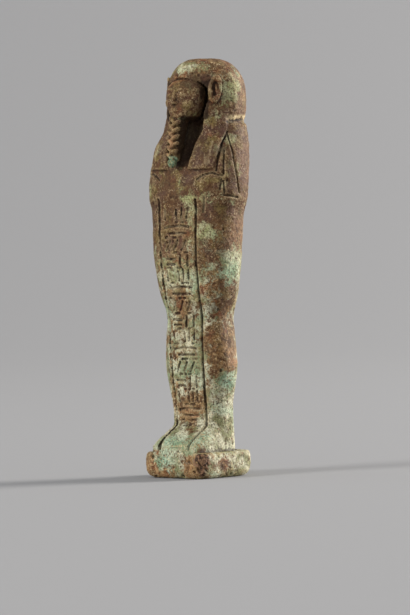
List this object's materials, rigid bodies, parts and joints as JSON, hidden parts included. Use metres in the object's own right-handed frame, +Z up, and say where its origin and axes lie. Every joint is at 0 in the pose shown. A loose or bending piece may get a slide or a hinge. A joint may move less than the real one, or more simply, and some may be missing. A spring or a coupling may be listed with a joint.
{
  "type": "ushabti figurine",
  "caption": "Small mummiform funerary figurine of worn faience, with a smooth wig, plaited beard, sign column, back pillar and low foot base.",
  "frame": {"origin": "centre of the bounding box, on the underside of the foot base", "axes": "+Z up from the base to the crown, -Y the way the figure faces, +X the figure's own left side"},
  "size_m": [0.0294, 0.027, 0.1144],
  "materials": {
    "faience": "worn matt faience, pale green glaze remains under brown staining"
  },
  "bodies": {
    "root": {"ushabti_figurine": "faience"}
  },
  "joints": []
}
